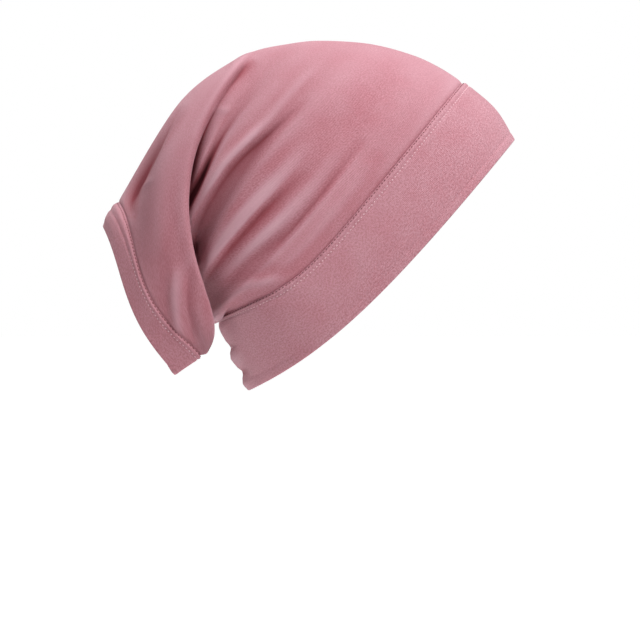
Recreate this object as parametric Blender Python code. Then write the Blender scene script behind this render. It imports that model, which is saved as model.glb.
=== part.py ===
"""Jersey under-cap, worn on the head: a soft tube with a folded band round the face and nape.

The tube runs back over the crown, is gathered behind the neck and hangs there as an open tail,
with a narrower band round its mouth. +X is the way the wearer looks, +Z is up, and the origin
is the seat, where the inside of the crown rests on the top of the head.
"""

from collections import namedtuple

import bpy
import numpy as np

# Driving dimensions, in metres.
CROWN_LENGTH = 0.2133  # along X, from the top of the face seam to the top of the tail seam
CROWN_HEIGHT = 0.1699  # along Z, from the crown down to the nape end of the face seam
HEAD_WIDTH = 0.154  # across the sides of the head, at the middle of the cloth
TAIL_WIDTH = 0.122  # across the two lower corners of the tail
TAIL_TURN = 0.045  # how far the tail hangs turned, as a step along X per step along Y
FRONT_BAND_WIDTH = 0.0465
TAIL_BAND_WIDTH = 0.0215
JERSEY_WALL = 0.0012
BAND_WALL = 0.0020  # the bands are folded double
WELT_RISE = 0.0006  # how much the seam allowance thickens a band beside its seam
HEM_RISE = 0.0003  # how much the folded edge of a band is thicker than its middle
FOLD_DEPTH = 0.0060  # height of the deepest gathers on the side of the head
PUCKER_DEPTH = 0.0020  # ruffles of the front band at the nape
SEAM_GAP = 0.0006  # clearance between two pieces at their seam

# Shape of the loops round the tube.
CORNER_CROWDING = 0.45  # how much the points of a loop crowd towards its side point
HALF_LOOP_STEPS = 28
RELAXING_STEPS = 80
FAR_SIDE_LAG = 0.12  # how far the gathers of the wearer's left side lie behind, in sections
FAR_SIDE_SHARE = 0.85  # and how deep they are against those of the right side

# Each section of the tube is a closed loop round it. Seen from the side, half a loop runs from
# its top point to its side point and on to its base point. x, bow and sway are shares of
# CROWN_LENGTH and z is a share of CROWN_HEIGHT. half is a share of half of HEAD_WIDTH, or of
# half of TAIL_WIDTH where tail is 1. bow and sway curve the line above the side point along X.
# lower is the width of the part below the side point against the part above it, elbow is how
# softly the loop turns at its side point, full is the exponent of its roundness, where 2 is an
# ellipse and more is squarer, and steps is how many rows lead up to the section.
Section = namedtuple(
    "Section",
    "name top_x top_z side_x side_z base_x base_z bow sway half tail lower elbow full steps",
)
SECTIONS = (
    Section("face", 0.384, -0.146, -0.058, -0.814, -0.326, -1.000, 0, 0,
            1.00, 0, 1.00, 0.30, 2.25, 0),
    Section("temple", 0.308, -0.084, -0.093, -0.715, -0.343, -0.998, 0, 0,
            1.01, 0, 0.95, 0.50, 2.25, 2),
    Section("ear", 0.227, -0.040, -0.131, -0.661, -0.360, -0.967, 0, 0,
            1.01, 0, 0.90, 0.80, 2.25, 3),
    Section("crown", 0.110, -0.004, -0.233, -0.515, -0.381, -0.920, 0, 0,
            1.01, 0, 0.80, 0.80, 2.25, 5),
    Section("back", -0.035, 0.007, -0.366, -0.650, -0.395, -0.887, -0.009, -0.041,
            0.96, 0, 0.75, 0.60, 2.25, 6),
    Section("gather", -0.134, -0.007, -0.407, -0.752, -0.410, -0.872, -0.029, -0.038,
            0.78, 0, 0.60, 0.25, 2.25, 6),
    Section("crease", -0.209, -0.026, -0.401, -0.916, -0.427, -0.872, -0.073, -0.035,
            0.77, 0, 0.80, 0.25, 2.25, 5),
    Section("edge", -0.273, -0.060, -0.346, -1.040, -0.448, -0.861, -0.116, 0,
            1.02, 1, 0.88, 0.15, 3.00, 6),
    Section("tail", -0.436, -0.219, -0.358, -1.109, -0.494, -0.818, -0.102, 0,
            1.03, 1, 0.84, 0.15, 2.90, 3),
    Section("seam", -0.613, -0.577, -0.381, -1.131, -0.544, -0.803, 0, -0.058,
            1.00, 1, 0.84, 0.20, 2.70, 3),
)
LAST = len(SECTIONS) - 1

# Each band lies between its seam and these lines, given as steps from the points of the seam.
# x and z are shares of the width of that band, and the rest is as above.
BandLine = namedtuple("BandLine", "top_x top_z side_x side_z base_x base_z sway half lower elbow")
FRONT_MIDDLE = BandLine(0.413, -0.347, 0.347, -0.273, 0.187, -0.427, 0, 0.985, 1.00, 0.60)
FRONT_EDGE = BandLine(0.667, -0.747, 0.693, -0.547, 0.427, -0.933, 0, 0.960, 1.00, 1.00)
TAIL_MOUTH = BandLine(-0.404, -0.721, -0.721, -0.490, -0.519, -0.461, -0.035, 0.930, 0.84, 0.28)

# Rows across a band, as shares of its width from the seam.
FRONT_BAND_ROWS = (0, 0.05, 0.14, 0.4, 0.7, 0.92, 1)
TAIL_BAND_ROWS = (0, 0.12, 0.32, 0.8, 1)

# The seam allowance of a band is a low welt beside its seam, in shares of the band's width.
FRONT_WELT_PLACE = 0.05
TAIL_WELT_PLACE = 0.12
WELT_SPREAD = 0.8  # half the breadth of the welt, against its place
HEM_STARTS = 0.75  # where a band starts to thicken towards its folded edge, and where it is full
HEM_FULL = 0.95

# Gathers follow the sections. high and low are their places at the top and at the base, in
# sections from the face seam, spread is half their breadth, also in sections, and lift is a
# share of FOLD_DEPTH. Along a loop, where 1 is its top, 0 its side point and -1 its base, they
# come in from starts to full and go out from fades to ends.
Fold = namedtuple("Fold", "name high low spread lift starts full fades ends")
FOLDS = (
    Fold("valley_over_nape_seam", 0.00, 0.90, 0.25, -0.35, -0.05, -0.45, -0.80, -0.98),
    Fold("roll_over_nape_seam", -0.70, 1.50, 0.35, 0.55, 0.00, -0.50, -0.85, -1.00),
    Fold("soft_valley_at_ear", 1.20, 1.45, 0.40, -0.30, 0.60, 0.20, -0.50, -0.95),
    Fold("soft_ridge_at_ear", 1.90, 2.40, 0.25, 0.35, 0.50, 0.10, -0.50, -0.95),
    Fold("valley_to_nape", 2.10, 3.15, 0.20, -0.45, 0.40, 0.00, -0.75, -1.00),
    Fold("ridge_to_nape", 2.50, 3.25, 0.20, 0.60, 0.50, 0.00, -0.75, -1.00),
    Fold("long_valley", 3.55, 4.25, 0.28, -0.85, 0.65, 0.25, -0.60, -0.98),
    Fold("long_ridge", 3.25, 5.90, 0.28, 0.85, 0.75, 0.35, -0.50, -0.95),
    Fold("dark_crease", 5.40, 5.40, 0.25, -0.90, 0.75, 0.35, -0.30, -0.80),
    Fold("facet", 5.85, 5.85, 0.24, 0.50, 0.90, 0.50, 0.10, -0.30),
    Fold("tail_crease", 6.35, 6.35, 0.28, -0.50, 0.95, 0.60, 0.25, 0.00),
    Fold("tail_roll", 7.05, 7.05, 0.35, 0.45, 0.95, 0.60, 0.40, 0.10),
    Fold("tail_dent", 8.55, 8.55, 0.30, -0.60, 0.98, 0.80, 0.60, 0.40),
    Fold("tail_ridge", 8.40, 8.40, 0.30, 0.35, 0.45, 0.25, 0.15, 0.02),
)
STEEPEST = 0.9  # a gather is kept lower where the sections run close, so its sides stay this steep

# Ruffles of the front band at the nape, as places across the band from its seam.
Ruffle = namedtuple("Ruffle", "place spread lift")
RUFFLES = (
    Ruffle(0.36, 0.13, 0.50),
    Ruffle(0.70, 0.07, -1.00),
    Ruffle(0.86, 0.07, 0.70),
)

COLOUR = (0.58, 0.23, 0.28, 1.0)


def smooth(start, end, value):
    """Goes from 0 at start to 1 at end, level at both."""
    share = np.clip((value - start) / (end - start), 0, 1)
    return share * share * (3 - 2 * share)


def section_row(section):
    """A section in metres, in the order of its columns, with its half width worked out."""
    width = TAIL_WIDTH if section.tail else HEAD_WIDTH
    return np.array(
        [
            section.top_x * CROWN_LENGTH,
            section.top_z * CROWN_HEIGHT,
            section.side_x * CROWN_LENGTH,
            section.side_z * CROWN_HEIGHT,
            section.base_x * CROWN_LENGTH,
            section.base_z * CROWN_HEIGHT,
            section.bow * CROWN_LENGTH,
            section.sway * CROWN_LENGTH,
            section.half * width / 2,
            section.lower,
            section.elbow,
            section.full,
        ]
    )


def band_row(seam, line, band_width, width):
    """A line across a band in metres, stepped off from the row of its seam."""
    row = seam.copy()
    row[:6] += np.array(line[:6]) * band_width
    row[7] = line.sway * CROWN_LENGTH
    row[8] = line.half * width / 2
    row[9] = line.lower
    row[10] = line.elbow
    return row


def all_rows():
    """The front band's edge and middle, every section, and the mouth of the tail."""
    rows = [section_row(section) for section in SECTIONS]
    return np.array(
        [
            band_row(rows[0], FRONT_EDGE, FRONT_BAND_WIDTH, HEAD_WIDTH),
            band_row(rows[0], FRONT_MIDDLE, FRONT_BAND_WIDTH, HEAD_WIDTH),
            *rows,
            band_row(rows[-1], TAIL_MOUTH, TAIL_BAND_WIDTH, TAIL_WIDTH),
        ]
    )


def between(rows, places):
    """Rows at places between the given ones, along a smooth curve through all of them."""
    last = len(rows) - 1
    before = np.clip(np.floor(places).astype(int), 0, last - 1)
    share = (places - before)[:, None]
    more = np.vstack([2 * rows[0] - rows[1], rows, 2 * rows[-1] - rows[-2]])
    a, b, c, d = (more[before + step] for step in range(4))
    bend = 2 * a - 5 * b + 4 * c - d
    return 0.5 * (2 * b + (c - a) * share + bend * share**2 + (3 * b - a - 3 * c + d) * share**3)


def heights():
    """Each point of a whole loop: 1 at the top, 0 at the side, -1 at the base, and its side."""
    turn = np.linspace(0, np.pi, HALF_LOOP_STEPS + 1)
    half = np.cos(turn + CORNER_CROWDING * np.sin(2 * turn) / 2)
    height = np.concatenate([half, half[-2:0:-1]])
    side = np.concatenate([-np.ones(len(half)), np.ones(len(half) - 2)])
    return height, side


def loops(rows, height, side):
    """Whole loops through the points of the rows, smooth over the top and under the base."""
    columns = [rows[:, i][:, None] for i in range(rows.shape[1])]
    top_x, top_z, side_x, side_z, base_x, base_z, bow, sway, half, lower, elbow, full = columns
    turned = np.sqrt(height**2 + elbow**2)
    away = (turned - elbow) / (np.sqrt(1 + elbow**2) - elbow)
    above = (1 + height / turned) / 2
    curve = bow * 4 * away * (1 - away) + sway * 6.75 * away * (1 - away) ** 2
    x = side_x + height * (top_x - base_x) / 2 + away * ((top_x + base_x) / 2 - side_x)
    z = side_z + height * (top_z - base_z) / 2 + away * ((top_z + base_z) / 2 - side_z)
    x = x + curve * above
    y = half * (1 - np.abs(height) ** full) ** (1 / full)
    y = y * (lower + (1 - lower) * above)
    return np.stack([x, y * side, z], axis=-1)


def settled(grid, places, height):
    """The loops with the cloth that is hidden behind the neck relaxed, so it lies without crossing.

    Each free point is drawn towards the middle of its four neighbours, time after time.
    """
    along = smooth(3.0, 4.2, places) * (1 - smooth(7.6, 8.9, places))
    held_above = -0.45 * smooth(6.0, 6.8, places)[:, None]
    free = 0.8 * along[:, None] * (1 - smooth(held_above - 0.15, held_above + 0.3, height))
    for _ in range(RELAXING_STEPS):
        before = np.concatenate([grid[:1], grid[:-1]])
        after = np.concatenate([grid[1:], grid[-1:]])
        middle = (before + after + np.roll(grid, 1, axis=1) + np.roll(grid, -1, axis=1)) / 4
        grid = grid + free[..., None] * (middle - grid)
    return grid


def normals(grid):
    """Outward directions, from each point's neighbours along and round the tube."""
    round_it = np.roll(grid, -1, axis=1) - np.roll(grid, 1, axis=1)
    outward = np.cross(np.gradient(grid, axis=0), round_it)
    return outward / np.linalg.norm(outward, axis=-1, keepdims=True)


def gathers(grid, places, height, side):
    """How far the folds lift the cloth, at places counted in sections from the face seam."""
    round_it = np.roll(grid, -1, axis=1) - np.roll(grid, 1, axis=1)
    round_it = round_it / np.linalg.norm(round_it, axis=-1, keepdims=True)
    section = np.linalg.norm(np.cross(np.gradient(grid, places, axis=0), round_it), axis=-1)
    lift = np.zeros((len(places), len(height)))
    lag = np.where(side > 0, FAR_SIDE_LAG, 0.0)
    share = np.where(side > 0, FAR_SIDE_SHARE, 1.0)
    for fold in FOLDS:
        centre = fold.low + (fold.high - fold.low) * (1 + height) / 2 + lag
        reach = smooth(fold.starts, fold.full, height) * smooth(fold.ends, fold.fades, height)
        crest = np.exp(-(((places[:, None] - centre) / fold.spread) ** 2))
        full = fold.lift * FOLD_DEPTH * share * reach
        steep = full / (fold.spread * section * STEEPEST)
        lift += full * crest / np.sqrt(1 + steep**2)
    return lift


def ruffles(places, height):
    """How far the nape ruffles lift the front band."""
    across = np.clip(-places, 0, None)[:, None] / 2
    lift = np.zeros((len(places), len(height)))
    for ruffle in RUFFLES:
        lift += ruffle.lift * np.exp(-(((across - ruffle.place) / ruffle.spread) ** 2))
    return lift * smooth(-0.86, -0.99, height) * PUCKER_DEPTH


def cloth(places):
    """The middle of the cloth and its outward directions at places counted from the face seam."""
    height, side = heights()
    grid = loops(between(all_rows(), places + 2), height, side)
    grid[..., 0] -= TAIL_TURN * grid[..., 1] * smooth(5.5, 7.0, places)[:, None]
    grid = settled(grid, places, height)
    lift = gathers(grid, places, height, side) + ruffles(places, height)
    grid = grid + normals(grid) * lift[..., None]
    return grid, normals(grid)


def closed_shell(name, inside, outside, rolled, material):
    """A piece of the tube with a wall: its outer rows, then its inner rows back again.

    rolled rows are the round edges of a band's free side, and lie between the two.
    """
    rings = np.concatenate([rolled, outside, inside[::-1]])
    count, points = rings.shape[:2]
    row, column = np.meshgrid(np.arange(count), np.arange(points), indexing="ij")
    row_after = (row + 1) % count
    column_after = (column + 1) % points
    corners = [
        row * points + column,
        row_after * points + column,
        row_after * points + column_after,
        row * points + column_after,
    ]
    faces = np.stack(corners, axis=-1).reshape(-1, 4)
    mesh = bpy.data.meshes.new(name)
    mesh.from_pydata(rings.reshape(-1, 3).tolist(), [], faces.tolist())
    mesh.materials.append(material)
    mesh.update()
    piece = bpy.data.objects.new(name, mesh)
    bpy.context.collection.objects.link(piece)
    return piece


def moved_off(seam_ring, next_ring):
    """A seam ring drawn back towards the next one by the clearance."""
    step = next_ring - seam_ring
    return seam_ring + SEAM_GAP * step / np.linalg.norm(step, axis=-1, keepdims=True)


def band_walls(middle, normal, across, welt_place):
    """The two faces of a band, thicker beside its seam and at its folded edge."""
    under = -JERSEY_WALL / 2
    welt = np.exp(-(((across - welt_place) / (WELT_SPREAD * welt_place)) ** 2))
    hem = smooth(HEM_STARTS, HEM_FULL, across)
    rise = under + BAND_WALL + WELT_RISE * welt + HEM_RISE * hem
    return middle + normal * under, middle + normal * rise[:, None, None]


def rolled_edge(inside, outside, inner_row, outer_row):
    """The round of a folded edge: one ring pushed out past the last rows of the two faces."""
    middle = (inside + outside) / 2
    away = middle - (inner_row + outer_row) / 2
    away = away / np.linalg.norm(away, axis=-1, keepdims=True)
    wall = np.linalg.norm(outside - inside, axis=-1, keepdims=True)
    return (middle + away * wall * 0.4)[None]


def jersey(name):
    """The dusty rose cloth of one piece."""
    material = bpy.data.materials.new(name)
    material.use_nodes = True
    shader = material.node_tree.nodes["Principled BSDF"]
    shader.inputs["Base Color"].default_value = COLOUR
    shader.inputs["Metallic"].default_value = 0.0
    shader.inputs["Roughness"].default_value = 0.9
    return material


def build():
    for thing in list(bpy.data.objects):
        bpy.data.objects.remove(thing)

    front_across = np.array(FRONT_BAND_ROWS)
    tail_across = np.array(TAIL_BAND_ROWS)
    tube_places = [0.0]
    for before, section in enumerate(SECTIONS[1:]):
        tube_places += [before + (step + 1) / section.steps for step in range(section.steps)]
    places = np.concatenate([-2 * front_across[:0:-1], tube_places, LAST + tail_across[1:]])
    middle, normal = cloth(places)

    first = len(front_across) - 1
    final = first + len(tube_places) - 1

    # The front band, from its folded edge to the face seam.
    band = middle[: first + 1].copy()
    band[-1] = moved_off(middle[first], middle[first - 1])
    across = front_across[::-1]
    inside, outside = band_walls(band, normal[: first + 1], across, FRONT_WELT_PLACE)
    roll = rolled_edge(inside[0], outside[0], inside[1], outside[1])
    closed_shell("front_band", inside, outside, roll, jersey("front_band_jersey"))

    # The tube, from the face seam to the tail seam.
    tube = middle[first : final + 1]
    half_wall = normal[first : final + 1] * JERSEY_WALL / 2
    inside = tube - half_wall
    closed_shell("crown_tube", inside, tube + half_wall, tube[:0], jersey("tube_jersey"))

    # The tail's band, from the tail seam to its mouth, laid out from the mouth like the other.
    band = middle[final:].copy()
    band[0] = moved_off(middle[final], middle[final + 1])
    inside, outside = band_walls(band, normal[final:], tail_across, TAIL_WELT_PLACE)
    roll = rolled_edge(inside[-1], outside[-1], inside[-2], outside[-2])
    closed_shell("tail_band", outside[::-1], inside[::-1], roll, jersey("tail_band_jersey"))


build()
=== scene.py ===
"""Looks of a jersey under-cap: knit, folded bands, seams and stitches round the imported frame."""

import math
from collections import namedtuple

import bpy
import numpy as np
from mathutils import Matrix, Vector


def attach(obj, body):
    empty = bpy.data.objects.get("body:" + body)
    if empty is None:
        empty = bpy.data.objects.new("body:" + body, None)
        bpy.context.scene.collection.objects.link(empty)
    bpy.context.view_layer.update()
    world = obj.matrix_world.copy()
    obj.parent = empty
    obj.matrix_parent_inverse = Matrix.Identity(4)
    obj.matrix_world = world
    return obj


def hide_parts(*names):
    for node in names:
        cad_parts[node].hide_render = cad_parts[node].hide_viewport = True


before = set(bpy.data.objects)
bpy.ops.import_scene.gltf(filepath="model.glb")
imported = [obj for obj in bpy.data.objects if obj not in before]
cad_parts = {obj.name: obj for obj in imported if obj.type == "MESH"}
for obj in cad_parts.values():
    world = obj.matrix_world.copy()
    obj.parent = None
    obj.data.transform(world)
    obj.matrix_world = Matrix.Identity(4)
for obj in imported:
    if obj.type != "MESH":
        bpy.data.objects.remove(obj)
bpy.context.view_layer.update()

bl_info = {
    "name": "Jersey under-cap",
    "version": (1, 0, 0),
    "blender": (4, 5, 0),
    "location": "View3D > Sidebar > Under-cap",
    "description": "Makes the cloth, seams, stitches and stage of a jersey under-cap",
    "category": "Add Mesh",
}

# Sizes of the cap in metres, as its solids have them.
CROWN_LENGTH = 0.2133
CROWN_HEIGHT = 0.1699
HEAD_WIDTH = 0.154
TAIL_WIDTH = 0.122
TAIL_TURN = 0.045  # how far the tail is turned: metres along X for each metre across
TAIL_TURNS = (5.5, 7.0)  # places between which that turn comes in
FRONT_BAND_WIDTH = 0.0465
TAIL_BAND_WIDTH = 0.0215
JERSEY_WALL = 0.0012
BAND_WALL = 0.0020
CORNER_CROWDING = 0.45  # how much closer a loop's points lie beside its side points

# Loops round the tube, as shares of the crown's length along X and of its height along Z.
Section = namedtuple(
    "Section",
    "top_x top_z side_x side_z base_x base_z bow sway half tail lower elbow full steps fine",
)
SECTIONS = (
    Section(0.384, -0.146, -0.058, -0.814, -0.326, -1.000, 0, 0, 1.00, 0, 1.00, 0.30, 2.25, 0, 0),
    Section(0.308, -0.084, -0.093, -0.715, -0.343, -0.998, 0, 0, 1.01, 0, 0.95, 0.50, 2.25, 2, 12),
    Section(0.227, -0.040, -0.131, -0.661, -0.360, -0.967, 0, 0, 1.01, 0, 0.90, 0.80, 2.25, 3, 12),
    Section(0.110, -0.004, -0.233, -0.515, -0.381, -0.920, 0, 0, 1.01, 0, 0.80, 0.80, 2.25, 5, 18),
    Section(-0.035, 0.007, -0.366, -0.650, -0.395, -0.887, -0.009, -0.041,
            0.96, 0, 0.75, 0.60, 2.25, 6, 22),
    Section(-0.134, -0.007, -0.407, -0.752, -0.410, -0.872, -0.029, -0.038,
            0.78, 0, 0.60, 0.25, 2.25, 6, 20),
    Section(-0.209, -0.026, -0.401, -0.916, -0.427, -0.872, -0.073, -0.035,
            0.77, 0, 0.80, 0.25, 2.25, 5, 22),
    Section(-0.273, -0.060, -0.346, -1.040, -0.448, -0.861, -0.116, 0,
            1.02, 1, 0.88, 0.15, 3.00, 6, 20),
    Section(-0.436, -0.219, -0.358, -1.109, -0.494, -0.818, -0.102, 0,
            1.03, 1, 0.84, 0.15, 2.90, 3, 24),
    Section(-0.613, -0.577, -0.381, -1.131, -0.544, -0.803, 0, -0.058,
            1.00, 1, 0.84, 0.20, 2.70, 3, 34),
)
LAST = len(SECTIONS) - 1

# Lines of the two bands, as steps from their seams in shares of their widths.
BandLine = namedtuple("BandLine", "top_x top_z side_x side_z base_x base_z sway half lower elbow")
FRONT_MIDDLE = BandLine(0.413, -0.347, 0.347, -0.273, 0.187, -0.427, 0, 0.985, 1.00, 0.60)
FRONT_EDGE = BandLine(0.667, -0.747, 0.693, -0.547, 0.427, -0.933, 0, 0.960, 1.00, 1.00)
TAIL_MOUTH = BandLine(-0.404, -0.721, -0.721, -0.490, -0.519, -0.461, -0.035, 0.930, 0.84, 0.28)
FRONT_BAND_ROWS = (0, 0.05, 0.14, 0.4, 0.7, 0.92, 1)
TAIL_BAND_ROWS = (0, 0.12, 0.32, 0.8, 1)

# Folds, each along a line drawn on the side of the cap. The line's points are in squares of the
# side view, across and down, and the third number is the share of the lift there. The lift and
# the breadths towards the upper left and the lower right are in millimetres. A fold is on the
# cloth between two places, counted in sections from the face seam.
SQUARE = 0.00062
SEAT_SQUARE = (330, 44)
VIEW_SQUARES = 640  # the side view is this many squares wide and high
VIEWING_DISTANCE = 2.4  # the side view is taken from here
Fold = namedtuple("Fold", "name lift upper lower first last line")
FOLDS = (
    Fold("tail_edge_crease", -8.0, 2.0, 4.4, 4.9, 6.1, (
        (256, 60, 0), (240, 71, 0.3), (219, 89, 0.55), (207, 107, 0.9), (199, 128, 1), (193, 150, 1),
        (188, 172, 1), (184, 194, 0.8), (182, 212, 0.5), (181, 228, 0))),
    Fold("tail_edge_facet", 1.4, 4.0, 3.5, 4.9, 6.6, (
        (250, 82, 0), (232, 100, 0.8), (220, 120, 1), (210, 145, 1), (200, 170, 0.9), (191, 195, 0.5),
        (186, 208, 0))),
    Fold("facet_wrinkle", 0.9, 1.4, 2.4, 4.9, 6.6, (
        (209, 110, 0), (214, 110, 1), (224, 111, 0.8), (236, 113, 0))),
    Fold("second_crease", -8.0, 3.8, 2.2, 4.4, 6.1, (
        (272, 86, 0), (245, 113, 0.2), (226, 140, 0.6), (212, 163, 0.9), (200, 184, 1),
        (190, 204, 0.9), (184, 217, 0.5), (182, 228, 0))),
    Fold("long_ridge", 4.2, 3.6, 3.6, 3.4, 5.8, (
        (330, 62, 0), (304, 82, 0.5), (271, 119, 0.8), (250, 138, 1), (228, 160, 1.1),
        (211, 183, 1.1), (197, 207, 1), (189, 226, 0.5), (185, 240, 0))),
    Fold("long_valley", -4.8, 3.4, 11.0, 3.0, 5.6, (
        (312, 98, 0), (288, 120, 0.5), (262, 142, 0.9), (244, 157, 1), (227, 176, 1), (213, 199, 1),
        (201, 223, 1), (194, 245, 0.8), (192, 262, 0))),
    Fold("ridge_to_nape", 4.0, 7.0, 3.2, 2.4, 5.6, (
        (330, 138, 0), (305, 158, 0.5), (286, 177, 0.8), (258, 207, 1), (236, 230, 1),
        (220, 248, 1), (209, 264, 0.9), (199, 280, 0.4), (195, 292, 0))),
    Fold("valley_to_nape", -3.6, 3.6, 8.0, 2.0, 5.6, (
        (325, 160, 0), (290, 188, 0.4), (262, 213, 0.9), (240, 238, 1), (222, 260, 1),
        (208, 280, 0.8), (201, 298, 0))),
    Fold("dark_pocket", -5.0, 4.0, 5.0, 4.0, 5.6, (
        (190, 232, 0), (194, 246, 0.8), (199, 260, 1), (204, 277, 0.9), (208, 294, 0.6),
        (213, 310, 0))),
    Fold("soft_ridge_at_ear", 1.6, 9.0, 7.0, 1.4, 5.9, (
        (352, 128, 0), (330, 160, 0.6), (304, 190, 0.9), (276, 220, 1), (246, 250, 1), (224, 272, 0.8),
        (212, 290, 0))),
    Fold("soft_valley_at_ear", -3.6, 6.0, 8.0, 1.2, 5.9, (
        (368, 138, 0), (345, 170, 0.5), (318, 205, 0.9), (290, 233, 1), (258, 256, 1), (238, 274, 1),
        (220, 292, 1), (209, 306, 0))),
    Fold("ridge_at_seam", 1.6, 8.0, 7.0, 0.3, 5.0, (
        (372, 158, 0), (350, 190, 0.7), (325, 222, 1), (300, 250, 1), (276, 266, 0.7), (255, 276, 0))),
    Fold("nape_roll", 3.4, 4.2, 4.2, 0.2, 6.4, (
        (300, 282, 0), (274, 281, 0.5), (252, 285, 0.9), (238, 292, 1), (227, 301, 1.1), (219, 313, 1.2),
        (215, 326, 1))),
    Fold("valley_under_nape_roll", -1.6, 3.4, 3.2, -0.4, 5.0, (
        (296, 294, 0), (276, 296, 0.5), (258, 300, 0.9), (242, 308, 1), (229, 317, 1), (222, 324, 1))),
    Fold("tail_dent", -5.2, 4.2, 4.0, 7.0, 9.0, (
        (186, 104, 0), (174, 122, 0.3), (160, 143, 0.6), (147, 165, 0.8), (137, 186, 1),
        (132, 203, 0.8), (131, 222, 0))),
    Fold("tail_dent_wrinkle", 1.0, 1.6, 1.6, 7.0, 9.0, (
        (156, 176, 0), (150, 182, 1), (143, 187, 1), (138, 191, 0))),
    Fold("tail_middle_ridge", 1.3, 9.0, 9.0, 7.0, 9.0, (
        (200, 105, 0), (180, 140, 0.8), (168, 180, 1), (160, 225, 0.7), (158, 262, 0))),
    Fold("tail_lower_ridge", 1.9, 3.2, 3.6, 7.0, 9.2, (
        (178, 262, 0), (175, 282, 0.8), (175, 304, 1), (178, 326, 0.8), (184, 345, 0))),
    Fold("tail_lower_valley", -1.8, 3.0, 4.0, 7.0, 9.2, (
        (194, 262, 0), (189, 285, 0.7), (189, 308, 1), (193, 328, 0.8), (197, 344, 0))),
    Fold("tail_edge_roll", 1.6, 5.0, 3.0, 6.8, 9.0, (
        (240, 72, 0), (219, 97, 0.8), (203, 122, 1), (193, 148, 1), (187, 172, 1), (184, 205, 1),
        (188, 240, 0.8), (197, 272, 0.6), (204, 300, 0))),
)
MILLIMETRE = 0.001
FOLD_REACH = 3  # a fold ends this many of its breadths away from its line
FADE_IN = (-0.15, 0.35)  # a fold comes in between these places, counted from its first one
FADE_OUT = (0.3, -0.3)  # and is gone at these, counted from its last one
DEEPEST_FOLD = 0.0095
LINE_STEPS = 12  # steps of a fold's line between two of its points
LINE_OVERHANG = 2  # squares past the ends of its line before a fold dies away
LEFT_SIDE_SHIFT = 4.0  # how many squares the folds of the wearer's left side lie behind
LEFT_SIDE_SHARE = 0.9
FLANK = (0.25, 0.6)  # from here to here in the sideways part of the normals, folds rise sideways
TURNED_EDGE = (0.1, 0.45)  # and here folds fade, behind the places that follow
TURNED_PLACES = (3.5, 4.5)

# A crease darkens from the first of these depths, in millimetres, and fully at the second. A full
# shadow is painted as if the cloth lay this much deeper, in metres.
SHADOW_STARTS = 3.6
SHADOW_FULL = 7.8
SHADOW_DEPTH = 0.0070

# Ruffles of the front band at the nape: the place across it, the spread and the rise of each, the
# first two in shares of the band's width and the last in shares of the ruffle's height.
RUFFLES = (
    (0.20, 0.10, 0.4), (0.46, 0.06, -0.9), (0.60, 0.08, 0.8), (0.80, 0.05, -1.0), (0.92, 0.06, 0.7))
RUFFLE_HEIGHT = 0.0020

# Seams and hems, in metres across a band from its seam.
SEAM_LAP = 0.0032  # how far a band runs on under the tube
LAP_DEPTH = 0.0009  # how far that part lies under its middle
FACE_TUCK = 0.0008  # how far the tube's ends are tucked in
TAIL_TUCK = 0.0006
INNER_SLACK = 0.0016  # how far the tube's inner face is drawn in between its seams
SEAM_DROP = 0.0013  # how far the band's face rolls down into its seam
WELT_RISE = 0.0002
TAIL_GROOVE = 0.0042  # where the top row of stitches draws the tail band in
GROOVE_DEPTH = 0.0005
GROOVE_SPREAD = 0.0009
SUNK_ROW = 0.0006  # the row of stitches down in the seam
HEM_RISE = 0.0001
FRONT_HEM = 0.0415
FRONT_HEM_DEPTH = 0.0003
BAND_BULGE = 0.0012  # how far the top of the tail band swells
FOLD_PUSH = 0.95  # how round a folded edge is, against half a circle

COLUMNS = 420  # points round the fine tube
BAND_COLUMNS = 840
COARSE_COLUMNS = 56
RELAXING_STEPS = 80
INNER_STEP = 4  # the inner faces have every fourth row
ROLL_STEPS = 5  # rows round a folded edge
NEAR_ROWS, NEAR_COLUMNS = 5, 7  # how far round a point of the tube its hollow is judged
BAND_NEAR_ROWS, BAND_NEAR_COLUMNS = 2, 6

# Looks of the cloth, with painted shade in hollows and a painted highlight on ridges. The depths are
# those of hollowness, in metres, and below nought on ridges.
HOLLOW_STARTS = 0.0001
HOLLOW_DEEP = 0.0022
HOLLOW_DARKEST = 0.0060
RIDGE_HIGHLIGHT_FULL = -0.0016
DARKEST_CREASE_SHADE = (0.075, 0.012, 0.016)
SHEEN_TINT = (1.0, 0.72, 0.80)
KNIT_DEPTH = 0.0004


class ClothSettings(bpy.types.PropertyGroup):
    """Colour and knit of the jersey."""

    rose: bpy.props.FloatVectorProperty(
        name="Rose", description="Colour of the jersey in even light", subtype="COLOR",
        size=3, min=0, max=1, default=(0.50, 0.175, 0.218))
    # Deep rose is the knit's speckle grain and also the painted shade in the creases.
    grain_and_crease_shade_rose: bpy.props.FloatVectorProperty(
        name="Deep rose", description="Colour of the jersey in its creases", subtype="COLOR",
        size=3, min=0, max=1, default=(0.32, 0.075, 0.09))
    # Pale rose is the random mottle, more of it on the bands, and also the painted highlight on the
    # ridges.
    mottle_and_highlight_rose: bpy.props.FloatVectorProperty(
        name="Pale rose", description="Colour where the cloth is rubbed and stretched",
        subtype="COLOR", size=3, min=0, max=1, default=(0.64, 0.37, 0.43))
    wale: bpy.props.FloatProperty(
        name="Wale", description="Width of one column of knit stitches", unit="LENGTH",
        default=0.00085, min=0.0003, max=0.003)
    course: bpy.props.FloatProperty(
        name="Course", description="Height of one row of knit stitches", unit="LENGTH",
        default=0.00070, min=0.0003, max=0.003)
    sheen: bpy.props.FloatProperty(
        name="Sheen", description="Glow of the loose fibres", subtype="FACTOR",
        default=0.28, min=0, max=1)


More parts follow.
